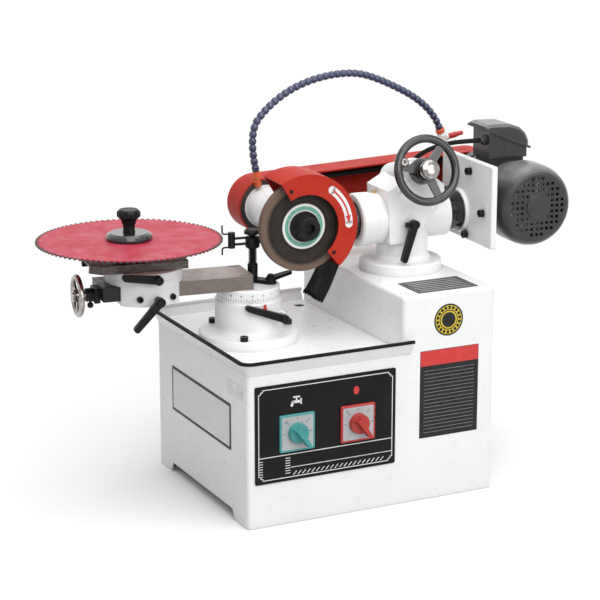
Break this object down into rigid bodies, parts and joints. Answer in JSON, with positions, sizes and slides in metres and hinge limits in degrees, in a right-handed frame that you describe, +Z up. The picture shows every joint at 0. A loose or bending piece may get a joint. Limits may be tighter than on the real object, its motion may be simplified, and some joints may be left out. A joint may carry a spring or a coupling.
{
  "type": "circular saw blade sharpener",
  "caption": "Cabinet-mounted grinder that sharpens circular saw blades: swivelling blade table with index finger, belt-driven wheel on a rack-fed head, and coolant line.",
  "frame": {"origin": "on the floor at the centre of the cabinet and of its floor-bolt pattern", "axes": "+X to the right seen from the switch panel, +Y to the back, +Z up"},
  "size_m": [0.8981, 0.4056, 0.6813],
  "materials": {
    "cabinet_paint": "satin",
    "cast_paint": "satin",
    "red_paint": "gloss",
    "panel_black": "matte",
    "switch_teal": "gloss",
    "switch_grey": "satin",
    "switch_red": "gloss",
    "black_plastic": "matte",
    "black_rubber": "matte",
    "hose_navy": "satin",
    "nozzle_orange": "satin",
    "motor_black": "satin",
    "steel": "brushed",
    "black_steel": "blackened",
    "chrome": "polished",
    "aluminium": "turned",
    "white_plastic": "satin",
    "blade_paint": "satin",
    "abrasive": "rough"
  },
  "bodies": {
    "cabinet": {"cabinet_shell": "cabinet_paint", "coolant_tray": "cabinet_paint", "tray_edging": "black_rubber", "switch_panel": "panel_black", "coolant_switch": "switch_grey", "motor_switch": "switch_grey", "coolant_tank": "black_plastic", "coolant_pump": "motor_black", "pedestal": "cast_paint", "pedestal_bolts": "black_steel", "column_flange": "cast_paint"},
    "coolant_knob": {"coolant_knob": "switch_teal"},
    "motor_knob": {"motor_knob": "switch_red"},
    "pedestal_lever": {"pedestal_lever": "black_plastic"},
    "table": {"swivel_ring": "cast_paint", "guide_bar": "steel", "screw_bracket": "black_steel", "index_base": "black_steel", "index_post": "black_steel", "index_spring": "black_steel"},
    "feed": {"feed_screw": "steel", "feed_handwheel": "chrome"},
    "carriage": {"carriage": "cast_paint"},
    "carriage_lever": {"carriage_lever": "black_plastic"},
    "drum": {"swivel_drum": "cast_paint"},
    "drum_lever": {"drum_lever": "black_plastic"},
    "top_slide": {"top_slide": "steel", "blade_arbor": "black_steel"},
    "blade": {"saw_blade": "blade_paint", "blade_flange": "black_steel"},
    "blade_knob": {"blade_knob": "black_plastic"},
    "index_arm": {"index_arm": "black_steel"},
    "index_lever": {"index_lever": "black_steel"},
    "head": {"head_casting": "cast_paint"},
    "sleeve_lever": {"sleeve_lever": "black_plastic"},
    "traverse": {"traverse_handwheel": "black_plastic", "traverse_pinion": "steel"},
    "wheelhead": {"sleeve": "steel", "motor_plate": "cast_paint", "motor_plate_bolts": "black_steel", "motor_housing": "motor_black", "fan_cowl": "motor_black", "terminal_box": "motor_black", "motor_lead": "black_rubber", "spindle_housing": "cast_paint", "spindle_bearings": "steel", "belt_guard": "red_paint", "wheel_guard": "red_paint", "splash_flap": "black_rubber", "drive_belt": "black_rubber", "coolant_valve": "white_plastic", "coolant_hose": "hose_navy", "coolant_nozzle": "nozzle_orange"},
    "valve_lever": {"valve_lever": "switch_red"},
    "spindle": {"spindle": "steel", "grinding_wheel": "abrasive", "wheel_flange": "black_steel", "spindle_pulley": "aluminium"},
    "rotor": {"motor_rotor": "steel", "motor_pulley": "aluminium"}
  },
  "joints": [
    {"name": "table_swivel", "type": "hinge", "parent": "cabinet", "child": "table", "pos_m": [-0.138, 0, 0.332], "axis": [0, 0, 1], "range_deg": [-15, 15]},
    {"name": "feed_turn", "type": "hinge", "parent": "table", "child": "feed", "pos_m": [-0.42187, 0.03485, 0.358], "axis": [0.9925, -0.1219, 0], "range_deg": [-109, 901]},
    {"name": "carriage_feed", "type": "slide", "parent": "table", "child": "carriage", "axis": [0.9925, -0.1219, 0], "range_m": [-0.025, 0.003]},
    {"name": "drum_swivel", "type": "hinge", "parent": "carriage", "child": "drum", "pos_m": [-0.31368, 0.02157, 0.386], "axis": [0, 0, 1], "range_deg": [-30, 30]},
    {"name": "top_slide_move", "type": "slide", "parent": "drum", "child": "top_slide", "axis": [0.9925, -0.1219, 0], "range_m": [-0.015, 0.002]},
    {"name": "blade_turn", "type": "hinge", "parent": "top_slide", "child": "blade", "pos_m": [-0.33552, 0.02425, 0.4415], "axis": [0, 0, 1], "continuous": true},
    {"name": "blade_knob_turn", "type": "hinge", "parent": "top_slide", "child": "blade_knob", "pos_m": [-0.33552, 0.02425, 0.48], "axis": [0, 0, 1], "continuous": true},
    {"name": "index_swing", "type": "hinge", "parent": "table", "child": "index_arm", "pos_m": [-0.12327, 0.0133, 0.42], "axis": [0, 0, 1], "range_deg": [-15, 15]},
    {"name": "index_lever_turn", "type": "hinge", "parent": "table", "child": "index_lever", "pos_m": [-0.10349, -0.01431, 0.359], "axis": [0, 0, 1], "range_deg": [-20, 20]},
    {"name": "head_swivel", "type": "hinge", "parent": "cabinet", "child": "head", "pos_m": [0.142, 0, 0.368], "axis": [0, 0, 1], "range_deg": [-1, 15]},
    {"name": "wheel_slide", "type": "slide", "parent": "head", "child": "wheelhead", "axis": [0.9986, -0.0523, 0], "range_m": [-0.014, 0.022], "deforming": ["motor_lead"]},
    {"name": "traverse_turn", "type": "hinge", "parent": "head", "child": "traverse", "pos_m": [0.15301, -0.07655, 0.53094], "axis": [0.0503, 0.9599, -0.2756], "range_deg": [-65, 42]},
    {"name": "spindle_turn", "type": "hinge", "parent": "wheelhead", "child": "spindle", "pos_m": [-0.06022, 0.0106, 0.454], "axis": [0.0523, 0.9986, 0], "continuous": true},
    {"name": "rotor_turn", "type": "hinge", "parent": "wheelhead", "child": "rotor", "pos_m": [0.34273, -0.01052, 0.461], "axis": [0.0523, 0.9986, 0], "continuous": true},
    {"name": "coolant_knob_turn", "type": "hinge", "parent": "cabinet", "child": "coolant_knob", "pos_m": [-0.14, -0.189, 0.1535], "axis": [0, 1, 0], "range_deg": [0, 90]},
    {"name": "motor_knob_turn", "type": "hinge", "parent": "cabinet", "child": "motor_knob", "pos_m": [-0.031, -0.189, 0.1535], "axis": [0, 1, 0], "range_deg": [0, 90]},
    {"name": "pedestal_lever_turn", "type": "hinge", "parent": "cabinet", "child": "pedestal_lever", "pos_m": [-0.10147, -0.0471, 0.306], "axis": [-0.1219, -0.9925, 0], "range_deg": [-20, 20]},
    {"name": "carriage_lever_turn", "type": "hinge", "parent": "carriage", "child": "carriage_lever", "pos_m": [-0.3155, -0.04248, 0.3575], "axis": [-0.1219, -0.9925, 0], "range_deg": [-20, 20]},
    {"name": "drum_lever_turn", "type": "hinge", "parent": "drum", "child": "drum_lever", "pos_m": [-0.31649, -0.04236, 0.3915], "axis": [-0.1219, -0.9925, 0], "range_deg": [-15, 15]},
    {"name": "sleeve_lever_turn", "type": "hinge", "parent": "head", "child": "sleeve_lever", "pos_m": [0.14147, -0.04834, 0.437], "axis": [-0.0523, -0.9986, 0], "range_deg": [-20, 20]},
    {"name": "valve_turn", "type": "hinge", "parent": "wheelhead", "child": "valve_lever", "pos_m": [0.30551, 0.1184, 0.54216], "axis": [0.9803, -0.0514, 0.1908], "range_deg": [0, 75]}
  ],
  "couplings": [
    {"joint": "feed_turn", "follows": "carriage_feed", "rad_per_m": -628.3},
    {"joint": "traverse_turn", "follows": "wheel_slide", "rad_per_m": -50},
    {"joint": "rotor_turn", "follows": "spindle_turn", "ratio": 0.75}
  ]
}
